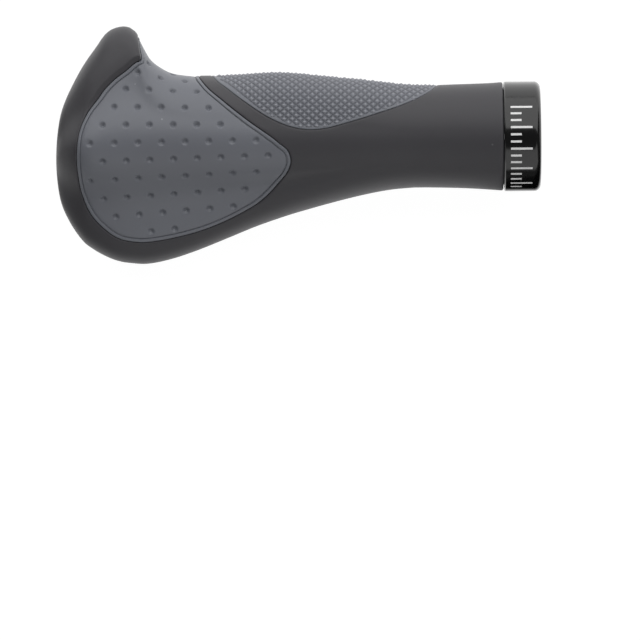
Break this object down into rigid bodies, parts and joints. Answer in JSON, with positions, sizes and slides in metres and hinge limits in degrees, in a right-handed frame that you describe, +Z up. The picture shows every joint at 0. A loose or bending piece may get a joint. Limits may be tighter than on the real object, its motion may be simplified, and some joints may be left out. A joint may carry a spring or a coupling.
{
  "type": "handlebar grip",
  "caption": "Ergonomic lock-on handlebar grip for the left hand, with a palm wing, a thumb horn, dimpled and knurled soft pads and a clamp ring.",
  "frame": {"origin": "centre of the handlebar bore, at the clamp ring's inboard face", "axes": "+X along the bar towards the stem, +Y forwards, away from the rider, +Z up, out of the palm pad"},
  "size_m": [0.1349, 0.0663, 0.0329],
  "materials": {
    "black_rubber": "matt moulded soft rubber",
    "grey_rubber": "satin moulded soft rubber",
    "core_plastic": "plain moulded nylon",
    "anodised_aluminium": "gloss black anodised",
    "black_steel": "black oxide"
  },
  "bodies": {
    "root": {"rubber_body": "black_rubber", "palm_pad": "grey_rubber", "finger_pad": "grey_rubber", "core_sleeve": "core_plastic", "clamp_ring": "anodised_aluminium", "clamp_screw": "black_steel"}
  },
  "joints": []
}
